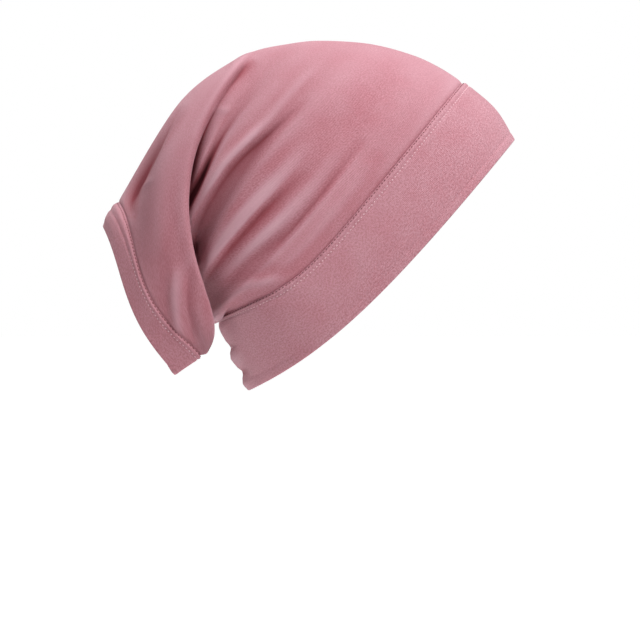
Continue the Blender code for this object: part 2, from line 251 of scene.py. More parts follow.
class StitchSettings(bpy.types.PropertyGroup):
    """Stitches of the two seams."""

    length: bpy.props.FloatProperty(
        name="Length", description="Length of one stitch", unit="LENGTH",
        default=0.0015, min=0.0005, max=0.006)
    pitch: bpy.props.FloatProperty(
        name="Pitch", description="From one stitch to the next", unit="LENGTH",
        default=0.0025, min=0.001, max=0.008)
    thickness: bpy.props.FloatProperty(
        name="Thickness", description="Thickness of the thread", unit="LENGTH",
        default=0.00065, min=0.0001, max=0.0015)
    second_row: bpy.props.FloatProperty(
        name="Second row", description="From the seam to the second row of stitches",
        unit="LENGTH", default=0.0042, min=0.001, max=0.02)
    thread: bpy.props.FloatVectorProperty(
        name="Thread", description="Colour of the thread", subtype="COLOR",
        size=3, min=0, max=1, default=(0.86, 0.56, 0.61))
    # The thread sunk in the seam is painted dark, as shade in the seam.
    seam_shade_thread: bpy.props.FloatVectorProperty(
        name="Thread in the seam", description="Colour of the thread sunk in the seam",
        subtype="COLOR", size=3, min=0, max=1, default=(0.16, 0.035, 0.045))


class StageSettings(bpy.types.PropertyGroup):
    """Floor, lights and camera."""

    floor_drop: bpy.props.FloatProperty(
        name="Floor drop", description="From the seat down to the floor", unit="LENGTH",
        default=0.45, min=0.25, max=2)
    distance: bpy.props.FloatProperty(
        name="Camera distance", description="From the camera to the middle of the cap",
        unit="LENGTH", default=VIEWING_DISTANCE, min=0.5, max=10)
    sky: bpy.props.FloatProperty(
        name="Sky", description="Strength of the even light", default=0.36, min=0, max=5)
    key: bpy.props.FloatProperty(
        name="Key", description="Power of the lamp overhead", subtype="POWER",
        default=31.5, min=0, max=500)


def smooth(start, end, value):
    """Goes from 0 at start to 1 at end: the share squared, times three less twice the share."""
    share = np.clip((value - start) / (end - start), 0, 1)
    return share * share * (3 - 2 * share)


def bump(value, centre, spread):
    """A hump of height one: the exponential of minus the squared distance in spreads."""
    return np.exp(-(((value - centre) / spread) ** 2))


def all_rows():
    """Rows of sizes in metres: the front band's edge and middle, each section, the tail's mouth."""
    rows = []
    for s in SECTIONS:
        width = TAIL_WIDTH if s.tail else HEAD_WIDTH
        rows.append([
            s.top_x * CROWN_LENGTH, s.top_z * CROWN_HEIGHT, s.side_x * CROWN_LENGTH,
            s.side_z * CROWN_HEIGHT, s.base_x * CROWN_LENGTH, s.base_z * CROWN_HEIGHT,
            s.bow * CROWN_LENGTH, s.sway * CROWN_LENGTH, s.half * width / 2,
            s.lower, s.elbow, s.full])
    rows = np.array(rows)

    def stepped(seam, line, band_width, width):
        row = seam.copy()
        row[:6] += np.array(line[:6]) * band_width
        row[7:11] = line.sway * CROWN_LENGTH, line.half * width / 2, line.lower, line.elbow
        return row

    return np.vstack([
        stepped(rows[0], FRONT_EDGE, FRONT_BAND_WIDTH, HEAD_WIDTH),
        stepped(rows[0], FRONT_MIDDLE, FRONT_BAND_WIDTH, HEAD_WIDTH),
        rows,
        stepped(rows[-1], TAIL_MOUTH, TAIL_BAND_WIDTH, TAIL_WIDTH)])


def curve_through(rows, places):
    """Rows between the given ones: the cubic through each four neighbours, evenly stepped."""
    last = len(rows) - 1
    before = np.clip(np.floor(places).astype(int), 0, last - 1)
    share = (places - before).reshape((-1,) + (1,) * (rows.ndim - 1))
    more = np.concatenate([2 * rows[:1] - rows[1:2], rows, 2 * rows[-1:] - rows[-2:-1]])
    a, b, c, d = (more[before + step] for step in range(4))
    return 0.5 * (2 * b + (c - a) * share + (2 * a - 5 * b + 4 * c - d) * share**2
                  + (3 * b - a - 3 * c + d) * share**3)


def round_the_loop(columns):
    """Height and side of each point of a loop, from its base up the left side and down the right.

    The height is minus the cosine of the turn, with the turn crowded towards the side points.
    """
    turn = np.arange(columns) * 2 * np.pi / columns
    height = -np.cos(turn + CORNER_CROWDING * np.sin(2 * turn) / 2)
    return height, np.where(turn < np.pi, 1.0, -1.0)


def loops(rows, height, side):
    """Loops through the top, side and base point of each row.

    Above the side point the line leans towards the top, below it towards the base, and turns at
    the side point by the elbow. The width falls off as a superellipse of the height.
    """
    columns = [rows[:, i][:, None] for i in range(rows.shape[1])]
    top_x, top_z, side_x, side_z, base_x, base_z, bow, sway, half, lower, elbow, full = columns
    turned = np.sqrt(height**2 + elbow**2)
    away = (turned - elbow) / (np.sqrt(1 + elbow**2) - elbow)
    above = (1 + height / turned) / 2
    curve = bow * 4 * away * (1 - away) + sway * 6.75 * away * (1 - away) ** 2
    x = side_x + height * (top_x - base_x) / 2 + away * ((top_x + base_x) / 2 - side_x)
    z = side_z + height * (top_z - base_z) / 2 + away * ((top_z + base_z) / 2 - side_z)
    y = half * np.clip(1 - np.abs(height) ** full, 0, 1) ** (1 / full)
    y = y * (lower + (1 - lower) * above) * side
    return np.stack([x + curve * above, y, z], axis=-1)


def turned_loops(places, columns):
    """The loops at places counted from the face seam, with the tail turned a little."""
    height, side = round_the_loop(columns)
    grid = loops(curve_through(all_rows(), places + 2), height, side)
    grid[..., 0] -= TAIL_TURN * grid[..., 1] * smooth(*TAIL_TURNS, places)[:, None]
    return grid


def relaxed_shift():
    """How far the hidden cloth behind the neck moves as it relaxes, on the solids' own rows.

    Each free point is drawn to the middle of its four neighbours, time after time. Free are the
    rows between the gather and the tail's seam, more so low on the loop, as in the solids.
    """
    tube = [0.0]
    for before, section in enumerate(SECTIONS[1:]):
        tube += [before + (step + 1) / section.steps for step in range(section.steps)]
    front = -2 * np.array(FRONT_BAND_ROWS)[:0:-1]
    places = np.concatenate([front, tube, LAST + np.array(TAIL_BAND_ROWS)[1:]])
    height, _ = round_the_loop(COARSE_COLUMNS)
    start = turned_loops(places, COARSE_COLUMNS)
    along = smooth(3.0, 4.2, places) * (1 - smooth(7.6, 8.9, places))
    held_above = -0.45 * smooth(6.0, 6.8, places)[:, None]
    free = 0.8 * along[:, None] * (1 - smooth(held_above - 0.15, held_above + 0.3, height))
    grid = start
    for _ in range(RELAXING_STEPS):
        before = np.concatenate([grid[:1], grid[:-1]])
        after = np.concatenate([grid[1:], grid[-1:]])
        middle = (before + after + np.roll(grid, 1, axis=1) + np.roll(grid, -1, axis=1)) / 4
        grid = grid + free[..., None] * (middle - grid)
    return places, grid - start


SHIFT_PLACES, SHIFT = relaxed_shift()


def normals(grid):
    """Outward directions: the way along crossed with the way round."""
    round_it = np.roll(grid, -1, axis=1) - np.roll(grid, 1, axis=1)
    outward = np.cross(np.gradient(grid, axis=0), round_it)
    return outward / np.linalg.norm(outward, axis=-1, keepdims=True)


def base_cloth(places, columns):
    """The unfolded cloth: the loops plus the relaxed shift, brought to these rows and columns."""
    shift = curve_through(SHIFT, np.interp(places, SHIFT_PLACES, np.arange(len(SHIFT))))
    wrapped = np.concatenate([shift[:, -2:], shift, shift[:, :3]], axis=1)
    at = np.arange(columns) * COARSE_COLUMNS / columns + 2
    shift = curve_through(wrapped.swapaxes(0, 1), at).swapaxes(0, 1)
    return turned_loops(places, columns) + shift


def side_view(grid):
    """Where each point shows from the side, in squares, both sides brought to the right one."""
    eye = (VIEW_SQUARES / 2 - np.array(SEAT_SQUARE)) * [SQUARE, -SQUARE]
    far = VIEWING_DISTANCE - np.abs(grid[..., 1:2])
    seen = (grid[..., [0, 2]] - eye) * VIEWING_DISTANCE / far + eye
    return seen * [1, -1] / SQUARE + SEAT_SQUARE


def gathers(grid, places, side):
    """How far the folds lift the cloth, in metres, and the share of shadow deep in the creases.

    Across a fold's line the lift falls off as the exponential of minus the squared distance in
    breadths, and along it the share follows a smooth curve through the line's points.
    """
    seen = side_view(grid)
    seen[..., 0] += np.where(side > 0, LEFT_SIDE_SHIFT, 0.0)
    strength = np.where(side > 0, LEFT_SIDE_SHARE, 1.0)
    lift = np.zeros(grid.shape[:2])
    shadow = np.zeros(grid.shape[:2])
    for fold in FOLDS:
        window = smooth(fold.first + FADE_IN[0], fold.first + FADE_IN[1], places)
        window = window * smooth(fold.last + FADE_OUT[0], fold.last + FADE_OUT[1], places)
        rows = np.flatnonzero(window)
        if not len(rows):
            continue
        line = np.array(fold.line, float)
        steps = np.linspace(0, len(line) - 1, LINE_STEPS * (len(line) - 1) + 1)
        line = curve_through(line, steps)
        ahead = np.gradient(line[:, :2], axis=0)
        ahead = ahead / np.linalg.norm(ahead, axis=1, keepdims=True)
        here = seen[rows]
        reach = max(fold.upper, fold.lower) * MILLIMETRE / SQUARE * FOLD_REACH
        low, high = line[:, :2].min(axis=0) - reach, line[:, :2].max(axis=0) + reach
        near = ((here > low) & (here < high)).all(axis=-1)
        spots = here[near]
        away = ((spots[:, None] - line[None, :, :2]) ** 2).sum(axis=-1)
        closest = away.argmin(axis=1)
        step = spots - line[closest, :2]
        tangent = ahead[closest]
        beyond = np.abs((step * tangent).sum(axis=1))
        off = tangent[:, 0] * step[:, 1] - tangent[:, 1] * step[:, 0]
        breadth = np.where(off > 0, fold.upper, fold.lower) * MILLIMETRE / SQUARE
        rise = np.exp(-((off / breadth) ** 2)) * np.clip(line[closest, 2], 0, None)
        rise *= np.exp(-(np.clip(beyond - LINE_OVERHANG, 0, None) / breadth) ** 2)
        share = np.zeros(near.shape)
        share[near] = rise
        share *= window[rows, None] * strength
        lift[rows] += share * fold.lift * MILLIMETRE
        dark = smooth(SHADOW_STARTS, SHADOW_FULL, -fold.lift)
        shadow[rows] = np.maximum(shadow[rows], dark * share)
    return np.maximum(lift, -DEEPEST_FOLD), shadow


def ruffles(places, height):
    """How far the nape ruffles lift the front band."""
    across = np.clip(-places, 0, None)[:, None] / 2
    lift = np.zeros((len(places), len(height)))
    for place, spread, rise in RUFFLES:
        lift += rise * bump(across, place, spread)
    return lift * smooth(-0.86, -0.99, height) * RUFFLE_HEIGHT


def cloth(places, columns):
    """Middle of the cloth, its outward directions, the unfolded cloth under it, and the shadow.

    On the flanks the folds rise straight sideways. From the gather on they fade where the cloth
    turns round the tail's edge. At the top, where the tail starts, the cloth dips a little.
    """
    height, side = round_the_loop(columns)
    base = base_cloth(places, columns)
    base[..., 2] -= 0.0004 * bump(places, 6.5, 0.35)[:, None] * smooth(0.55, 0.95, height)
    outward = normals(base)
    sideways = smooth(*FLANK, np.abs(outward[..., 1:2]))
    way = outward * (1 - sideways) + np.sign(outward) * [0, 1, 0] * sideways
    lift, shadow = gathers(base, places, side)
    turning = 1 - smooth(*TURNED_EDGE, np.abs(outward[..., 1]))
    lift *= 1 - turning * smooth(*TURNED_PLACES, places)[:, None]
    grid = base + way * lift[..., None]
    grid = grid + outward * ruffles(places, height)[..., None]
    return grid, normals(grid), base, shadow


def spread_out(base, from_row):
    """Where each point lies on the flat cloth in metres: lengths summed round and along it.

    The loop is cut at its base, so the last column is the first again, one whole loop on.
    """
    wrapped = np.concatenate([base, base[:, :1]], axis=1)
    round_it = np.linalg.norm(np.diff(wrapped, axis=1), axis=-1)
    u = np.concatenate([np.zeros((len(base), 1)), np.cumsum(round_it, axis=1)], axis=1)
    u = u - u[:, [base.shape[1] // 2]]
    along = np.linalg.norm(np.diff(wrapped, axis=0), axis=-1)
    v = np.concatenate([np.zeros((1, wrapped.shape[1])), np.cumsum(along, axis=0)])
    return np.stack([u, v - v[from_row]], axis=-1)


def hollowness(grid, normal, rows, columns):
    """How deep each point lies below the mean of the cloth around it, in metres, out less in."""
    mean = grid
    for axis, reach in ((0, rows), (1, columns)):
        total = np.zeros_like(mean)
        for step in range(-reach, reach + 1):
            if axis:
                total += np.roll(mean, step, axis=1)
            else:
                total += mean[np.clip(np.arange(len(mean)) + step, 0, len(mean) - 1)]
        mean = total / (2 * reach + 1)
    return ((mean - grid) * normal).sum(axis=-1)


def shell(name, rings, flat, hollow, material):
    """A closed ring of rings: each point joined to the next round its loop and to the next ring."""
    count, columns = rings.shape[:2]
    row, column = np.meshgrid(np.arange(count), np.arange(columns), indexing="ij")
    row_after, column_after = (row + 1) % count, (column + 1) % columns
    corners = np.stack([
        row * columns + column, row_after * columns + column,
        row_after * columns + column_after, row * columns + column_after], axis=-1)
    flat_corners = np.stack([
        flat[row, column], flat[row_after, column],
        flat[row_after, column + 1], flat[row, column + 1]], axis=2)
    return mesh_piece(name, rings.reshape(-1, 3), corners.reshape(-1, 4), material,
                      flat_corners.reshape(-1, 2), hollow.reshape(-1))


def mesh_piece(name, points, faces, material, flat=None, hollow=None):
    """A mesh object at the origin from arrays of points and of four-cornered faces."""
    mesh = bpy.data.meshes.new(name)
    mesh.vertices.add(len(points))
    mesh.vertices.foreach_set("co", np.ascontiguousarray(points, np.float32).ravel())
    mesh.loops.add(faces.size)
    mesh.loops.foreach_set("vertex_index", np.ascontiguousarray(faces, np.int32).ravel())
    mesh.polygons.add(len(faces))
    mesh.polygons.foreach_set("loop_start", np.arange(0, faces.size, 4, dtype=np.int32))
    mesh.update(calc_edges=True)
    mesh.polygons.foreach_set("use_smooth", np.ones(len(faces), bool))
    if flat is not None:
        layer = mesh.uv_layers.new(name="flat_cloth")
        layer.data.foreach_set("uv", np.ascontiguousarray(flat, np.float32).ravel())
    if hollow is not None:
        layer = mesh.attributes.new("hollow", "FLOAT", "POINT")
        layer.data.foreach_set("value", np.ascontiguousarray(hollow, np.float32))
    mesh.materials.append(material)
    mesh.validate()
    piece = bpy.data.objects.new(name, mesh)
    bpy.context.collection.objects.link(piece)
    return piece


def band_profile(across, stitch_line, hem):
    """Rise of a band's outer face over its middle: a rolled seam, a welt, a groove and a hem.

    The part that runs on under the tube lies below its middle.
    """
    rise = np.full(len(across), BAND_WALL - JERSEY_WALL / 2)
    rise -= SEAM_DROP * (1 - smooth(0, 0.0016, across))
    rise += WELT_RISE * smooth(0, 0.0015, across) * (1 - smooth(stitch_line, stitch_line + 0.004, across))
    rise -= GROOVE_DEPTH * bump(across, stitch_line, GROOVE_SPREAD)
    return np.where(across < 0, -LAP_DEPTH, rise + hem)


def allowance(across):
    """Depth of a band's inner face under its middle: the seam allowance shows as a low ridge."""
    return JERSEY_WALL / 2 + 0.0011 * (1 - smooth(0, 0.0035, across))


def rolled(inside, outside, inner_row, outer_row):
    """The folded edge: half a turn from the outer face to the inner one, pushed outwards."""
    middle = (inside + outside) / 2
    away = middle - (inner_row + outer_row) / 2
    away = away / np.linalg.norm(away, axis=-1, keepdims=True)
    half = (outside - inside) / 2
    push = away * np.linalg.norm(half, axis=-1, keepdims=True) * FOLD_PUSH
    turn = ((np.arange(ROLL_STEPS) + 1) * np.pi / (ROLL_STEPS + 1))[:, None, None]
    return middle + half * np.cos(turn) + push * np.sin(turn)


def folded_band(name, grid, normal, base, across, rise, way, material):
    """A band: its outer face from the seam, the folded edge, and the inner face back to the seam.

    The way is 1 where the cloth's rows run on from the seam along the tube, and -1 where they run
    against it, so that the faces point outwards on both.
    """
    outside = grid + normal * rise[:, None, None]
    inside = grid - normal * allowance(across)[:, None, None]
    roll = rolled(inside[-1], outside[-1], inside[-2], outside[-2])
    inner = np.arange(len(across) - 1, -1, -INNER_STEP)
    flat = spread_out(base, 0)
    flat[..., 1] *= way
    hollow = hollowness(outside, normal, BAND_NEAR_ROWS, BAND_NEAR_COLUMNS)
    rings = np.concatenate([outside, roll, inside[inner]])
    flat = np.concatenate([flat, flat[-1:].repeat(len(roll), 0), flat[inner]])
    hollow = np.concatenate([hollow, hollow[-1:].repeat(len(roll), 0), hollow[inner]])
    return shell(name, rings[::way], flat[::way], hollow[::way], material)


def noise(tree, vector, scale, detail=2, roughness=0.5):
    """Noise of this scale, read at a vector."""
    node = tree.nodes.new("ShaderNodeTexNoise")
    node.inputs["Scale"].default_value = scale
    node.inputs["Detail"].default_value = detail
    node.inputs["Roughness"].default_value = roughness
    tree.links.new(vector, node.inputs["Vector"])
    return node.outputs["Fac"]


def ranged(tree, value, low, high, at_low, at_high):
    """A value brought from the range low to high to the range at_low to at_high, and held there."""
    node = tree.nodes.new("ShaderNodeMapRange")
    sockets = ("From Min", "From Max", "To Min", "To Max")
    for socket, number in zip(sockets, (low, high, at_low, at_high)):
        node.inputs[socket].default_value = number
    tree.links.new(value, node.inputs["Value"])
    return node.outputs["Result"]


def mixed(tree, a, b, factor):
    """One colour turned into another by a factor. Each is a tuple or a socket."""
    node = tree.nodes.new("ShaderNodeMix")
    node.data_type = "RGBA"
    for socket, value in ((node.inputs[6], a), (node.inputs[7], b)):
        if isinstance(value, tuple):
            socket.default_value = (*value, 1)
        else:
            tree.links.new(value, socket)
    tree.links.new(factor, node.inputs[0])
    return node.outputs[2]


def raised(tree, height, distance, shader):
    """Relief of this distance on a shader, from a height of 0 to 1."""
    node = tree.nodes.new("ShaderNodeBump")
    node.inputs["Distance"].default_value = distance
    tree.links.new(height, node.inputs["Height"])
    tree.links.new(node.outputs["Normal"], shader.inputs["Normal"])


def knit_group():
    """Jersey knit from the flat cloth's metres: V-shaped loops in columns, with fibre noise.

    Across a column the relief is a parabola, and along it a sine that slants to both sides.
    """
    group = bpy.data.node_groups.get("jersey_knit")
    if group:
        return group
    group = bpy.data.node_groups.new("jersey_knit", "ShaderNodeTree")
    face = group.interface
    face.new_socket("Flat", in_out="INPUT", socket_type="NodeSocketVector")
    for name in ("Wale", "Course"):
        face.new_socket(name, in_out="INPUT", socket_type="NodeSocketFloat")
    for name in ("Relief", "Speckle"):
        face.new_socket(name, in_out="OUTPUT", socket_type="NodeSocketFloat")
    nodes, links = group.nodes, group.links
    start, end = nodes.new("NodeGroupInput"), nodes.new("NodeGroupOutput")
    flat = start.outputs["Flat"]

    def reckon(operation, *values):
        node = nodes.new("ShaderNodeMath")
        node.operation = operation
        for socket, value in zip(node.inputs, values):
            if isinstance(value, (int, float)):
                socket.default_value = value
            else:
                links.new(value, socket)
        return node.outputs[0]

    split = nodes.new("ShaderNodeSeparateXYZ")
    links.new(flat, split.inputs[0])
    sway = reckon("MULTIPLY", reckon("SUBTRACT", noise(group, flat, 260, 1), 0.5), 0.9)
    across = reckon("ADD", reckon("DIVIDE", split.outputs["X"], start.outputs["Wale"]), sway)
    along = reckon("ADD", reckon("DIVIDE", split.outputs["Y"], start.outputs["Course"]), sway)
    slant = reckon("ABSOLUTE", reckon("SUBTRACT", reckon("FRACT", across), 0.5))
    rib = reckon("SUBTRACT", 1.0, reckon("MULTIPLY", reckon("MULTIPLY", slant, slant), 4.0))
    legs = reckon("SINE", reckon("MULTIPLY", reckon("ADD", along, slant), 2 * math.pi))
    legs = reckon("MULTIPLY", reckon("ADD", legs, 1.0), 0.5)
    relief = reckon("MULTIPLY", rib, reckon("MULTIPLY_ADD", legs, 0.6, 0.4))
    fibre = noise(group, flat, 900, 3, 0.7)
    relief = reckon("MULTIPLY_ADD", fibre, 0.5, reckon("MULTIPLY", relief, 0.6))
    links.new(relief, end.inputs["Relief"])
    links.new(fibre, end.inputs["Speckle"])
    return group


def jersey(name, paleness=0.0):
    """Dusty rose jersey: knit relief, mottled colour, painted shade in the hollows and a painted
    highlight on the ridges.
    """
    settings = bpy.context.scene.undercap_cloth
    material = bpy.data.materials.new(name)
    material.use_nodes = True
    tree = material.node_tree
    shader = tree.nodes["Principled BSDF"]
    flat = tree.nodes.new("ShaderNodeUVMap")
    flat.uv_map = "flat_cloth"
    knit = tree.nodes.new("ShaderNodeGroup")
    knit.node_tree = knit_group()
    knit.inputs["Wale"].default_value = settings.wale
    knit.inputs["Course"].default_value = settings.course
    tree.links.new(flat.outputs["UV"], knit.inputs["Flat"])
    attribute = tree.nodes.new("ShaderNodeAttribute")
    attribute.attribute_name = "hollow"
    hollow = attribute.outputs["Fac"]

    rose, deep, pale = (tuple(c) for c in (settings.rose, settings.grain_and_crease_shade_rose, settings.mottle_and_highlight_rose))
    broad = noise(tree, flat.outputs["UV"], 55, 3)
    colour = mixed(tree, rose, pale, ranged(tree, broad, 0.3, 0.7, paleness, 0.25 + paleness))
    colour = mixed(tree, colour, deep, ranged(tree, knit.outputs["Speckle"], 0.4, 0.6, 0.55, 0))
    # Painted highlight on the ridges, painted shade in the hollows, and near black painted shade in the
    # deepest creases.
    colour = mixed(tree, colour, pale, ranged(tree, hollow, -HOLLOW_STARTS, RIDGE_HIGHLIGHT_FULL, 0, 0.75))
    colour = mixed(tree, colour, deep, ranged(tree, hollow, HOLLOW_STARTS, HOLLOW_DEEP, 0, 0.75))
    colour = mixed(tree, colour, DARKEST_CREASE_SHADE, ranged(tree, hollow, HOLLOW_DEEP, HOLLOW_DARKEST, 0, 0.92))
    tree.links.new(colour, shader.inputs["Base Color"])
    # Sheen and specular fade out in the hollows, as painted shade.
    for socket, most in (("Sheen Weight", settings.sheen), ("Specular IOR Level", 0.35)):
        fading = ranged(tree, hollow, HOLLOW_STARTS, HOLLOW_DEEP, most, 0)
        tree.links.new(fading, shader.inputs[socket])
    raised(tree, knit.outputs["Relief"], KNIT_DEPTH, shader)
    shader.inputs["Roughness"].default_value = 0.62
    shader.inputs["Sheen Roughness"].default_value = 0.6
    shader.inputs["Sheen Tint"].default_value = (*SHEEN_TINT, 1)
    return material


def thread_material(name, colour):
    """Twisted polyester thread with a fine uneven twist."""
    material = bpy.data.materials.new(name)
    material.use_nodes = True
    tree = material.node_tree
    shader = tree.nodes["Principled BSDF"]
    place = tree.nodes.new("ShaderNodeTexCoord")
    twist = noise(tree, place.outputs["Object"], 2500)
    darker = tuple(0.72 * share for share in colour)
    tree.links.new(mixed(tree, tuple(colour), darker, twist), shader.inputs["Base Color"])
    raised(tree, twist, 0.0001, shader)
    shader.inputs["Roughness"].default_value = 0.5
    return material


def tube_places():
    """Rows of the fine tube from the face seam to the tail seam, as each section says."""
    places = [0.0]
    for before, section in enumerate(SECTIONS[1:]):
        places += [before + (step + 1) / section.fine for step in range(section.fine)]
    return np.array(places)


def make_crown_tube():
    """The tube: its outer face, and its inner face a wall behind on every fourth row.

    Both ends are tucked a little into their seams. The inner face is drawn in where a fold goes
    deep, so that its fewer rows don't show through.
    """
    places = tube_places()
    grid, normal, base, shadow = cloth(places, COLUMNS)
    along = np.linalg.norm(np.diff(base, axis=0), axis=-1)
    from_face = np.concatenate([np.zeros((1, COLUMNS)), np.cumsum(along, axis=0)])
    from_tail = from_face[-1] - from_face
    tucked = FACE_TUCK * (1 - smooth(0, 0.0030, from_face))
    tucked += TAIL_TUCK * (1 - smooth(0, 0.0020, from_tail))
    grid = grid - normal * tucked[..., None]
    outside = grid + normal * JERSEY_WALL / 2
    rows = np.unique(np.append(np.arange(0, len(places), INNER_STEP), len(places) - 1))
    hollow = hollowness(grid, normal, NEAR_ROWS, NEAR_COLUMNS)
    drawn_in = JERSEY_WALL / 2 + np.clip(hollow, 0, 2.5 * JERSEY_WALL)
    drawn_in += (INNER_SLACK * smooth(0.4, 1.2, places) * smooth(7.4, 6.8, places))[:, None]
    inside = (grid - normal * drawn_in[..., None])[rows][::-1]
    # The painted shadow of the deep creases is added to the hollowness that darkens the colour.
    hollow += SHADOW_DEPTH * shadow
    flat = spread_out(base, 0)
    piece = shell(
        "crown_tube_jersey", np.concatenate([outside, inside]),
        np.concatenate([flat, flat[rows][::-1]]), np.concatenate([hollow, hollow[rows][::-1]]),
        jersey("tube_jersey"))
    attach(piece, "root")
    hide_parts("crown_tube")


def make_front_band():
    """The band round the face, whose rows run forward from the seam, with a hem line."""
    across = np.concatenate([
        [-SEAM_LAP, -SEAM_LAP / 2], np.linspace(0, 0.0016, 4), np.linspace(0.0022, 0.0085, 9),
        np.linspace(0.011, 0.039, 11), np.linspace(0.0405, FRONT_BAND_WIDTH, 8)])
    places = -2 * across / FRONT_BAND_WIDTH
    grid, normal, base = (rows[::-1] for rows in cloth(places[::-1], BAND_COLUMNS)[:3])
    hem = HEM_RISE * smooth(FRONT_HEM, 0.0430, across)
    hem -= FRONT_HEM_DEPTH * bump(across, FRONT_HEM, GROOVE_SPREAD)
    rise = band_profile(across, bpy.context.scene.undercap_stitches.second_row, hem)
    piece = folded_band("front_band_jersey", grid, normal, base, across, rise, -1,
                        jersey("band_jersey", paleness=0.30))
    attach(piece, "root")
    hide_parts("front_band")


def make_tail_band():
    """The band round the tail's mouth, made like the front one, and swollen over its top."""
    across = np.concatenate([
        [-SEAM_LAP, -SEAM_LAP / 2], np.linspace(0, 0.0016, 4), np.linspace(0.0022, 0.0075, 8),
        np.linspace(0.0095, TAIL_BAND_WIDTH, 9)])
    share = across / TAIL_BAND_WIDTH
    grid, normal, base, _ = cloth(LAST + share, BAND_COLUMNS)
    swell = BAND_BULGE * np.sin(np.pi * np.clip(share, 0, 1) ** 0.8)
    swell = swell[:, None] * smooth(0.6, 0.97, round_the_loop(BAND_COLUMNS)[0])
    rise = band_profile(across, TAIL_GROOVE, HEM_RISE * smooth(0.017, 0.020, across))
    piece = folded_band("tail_band_jersey", grid + normal * swell[..., None], normal, base, across,
                        rise, 1, jersey("tail_band_jersey", paleness=0.15))
    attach(piece, "root")
    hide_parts("tail_band")


def stitch_row(path, normal, length, pitch, thickness):
    """Threads laid on a closed path: spindles of six sides, whose ends dive into the cloth."""
    wrapped = np.vstack([path, path[:1]])
    lengths = np.concatenate([[0], np.cumsum(np.linalg.norm(np.diff(wrapped, axis=0), axis=-1))])
    count = int(lengths[-1] / pitch)
    centres = (np.arange(count) + 0.5) * lengths[-1] / count

    def at(values, where):
        values = np.vstack([values, values[:1]])
        return np.stack([np.interp(where % lengths[-1], lengths, values[:, i]) for i in range(3)], -1)

    nearby = 0.0003
    sides = 6
    stations = np.array([-0.5, -0.42, -0.2, 0.2, 0.42, 0.5])
    radius = np.array([0.02, 0.6, 1.0, 1.0, 0.6, 0.02]) * thickness / 2
    dive = np.array([-1.0, -0.55, 0.0, 0.0, -0.55, -1.0]) * thickness * 0.7
    where = centres[:, None] + stations * length
    middle = at(path, where)
    out = at(normal, where)
    out = out / np.linalg.norm(out, axis=-1, keepdims=True)
    ahead = at(path, where + nearby) - at(path, where - nearby)
    ahead = ahead / np.linalg.norm(ahead, axis=-1, keepdims=True)
    across = np.cross(out, ahead)
    turn = np.arange(sides) * 2 * np.pi / sides
    ring = np.cos(turn)[:, None] * across[:, :, None] + np.sin(turn)[:, None] * out[:, :, None]
    points = (middle + out * dive[:, None])[:, :, None] + ring * radius[:, None, None]
    stitch, station, side = np.meshgrid(
        np.arange(count), np.arange(len(stations) - 1), np.arange(sides), indexing="ij")
    first = (stitch * len(stations) + station) * sides
    after = (side + 1) % sides
    faces = np.stack([first + side, first + after, first + sides + after, first + sides + side], -1)
    return points.reshape(-1, 3), faces.reshape(-1, 4)


def make_stitches(name, place, rise, material):
    """A row of thread at a place, lying on the face of the cloth at this rise over its middle."""
    stitch = bpy.context.scene.undercap_stitches
    grid, normal = cloth(np.array([place - 0.01, place, place + 0.01]), BAND_COLUMNS)[:2]
    path = grid[1] + normal[1] * rise
    points, faces = stitch_row(path, normal[1], stitch.length, stitch.pitch, stitch.thickness)
    piece = mesh_piece(name, points, faces, material)
    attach(piece, "root")


def floor_disc(drop):
    """Points and faces of a wide round floor: rings of points round the middle."""
    radii = np.array([0.001, 1.0, 5.0, 20.0, 60.0])[:, None]
    sides = 64
    turn = np.arange(sides) * 2 * np.pi / sides
    points = np.stack([radii * np.cos(turn), radii * np.sin(turn),
                       np.full((len(radii), sides), -drop)], -1)
    row, column = np.meshgrid(np.arange(len(radii) - 1), np.arange(sides), indexing="ij")
    after = (column + 1) % sides
    faces = np.stack([row * sides + column, (row + 1) * sides + column,
                      (row + 1) * sides + after, row * sides + after], -1)
    return points.reshape(-1, 3), faces.reshape(-1, 4)


def white_paper():
    """Pale paper for the floor, which glows a little to the camera alone, so it stays white."""
    paper = bpy.data.materials.new("white_paper")
    paper.use_nodes = True
    nodes, links = paper.node_tree.nodes, paper.node_tree.links
    shader = nodes["Principled BSDF"]
    shader.inputs["Base Color"].default_value = (0.92, 0.92, 0.92, 1)
    shader.inputs["Roughness"].default_value = 0.9
    shader.inputs["Emission Color"].default_value = (1, 1, 1, 1)
    glow = nodes.new("ShaderNodeMath")
    glow.operation = "MULTIPLY"
    glow.inputs[1].default_value = 0.72
    links.new(nodes.new("ShaderNodeLightPath").outputs["Is Camera Ray"], glow.inputs[0])
    links.new(glow.outputs[0], shader.inputs["Emission Strength"])
    return paper


def even_sky(strength):
    """A white sky that lights with this strength and looks plain white to the camera."""
    world = bpy.context.scene.world or bpy.data.worlds.new("studio")
    bpy.context.scene.world = world
    world.use_nodes = True
    nodes, links = world.node_tree.nodes, world.node_tree.links
    nodes.clear()
    end = nodes.new("ShaderNodeOutputWorld")
    mix = nodes.new("ShaderNodeMixShader")
    links.new(nodes.new("ShaderNodeLightPath").outputs["Is Camera Ray"], mix.inputs[0])
    for socket, power in ((mix.inputs[1], strength), (mix.inputs[2], 1)):
        sky = nodes.new("ShaderNodeBackground")
        sky.inputs["Color"].default_value = (1, 1, 1, 1)
        sky.inputs["Strength"].default_value = power
        links.new(sky.outputs[0], socket)
    links.new(mix.outputs[0], end.inputs[0])


def lamp(name, place, size, power):
    """A round soft lamp at a place, aimed at the middle of the cap."""
    light = bpy.data.lights.new(name, "AREA")
    light.shape = "DISK"
    light.size = size
    light.energy = power
    thing = bpy.data.objects.new(name, light)
    bpy.context.collection.objects.link(thing)
    thing.location = place
    aim = Vector((-0.02, 0, -0.10)) - Vector(place)
    thing.rotation_euler = aim.to_track_quat("-Z", "Y").to_euler()


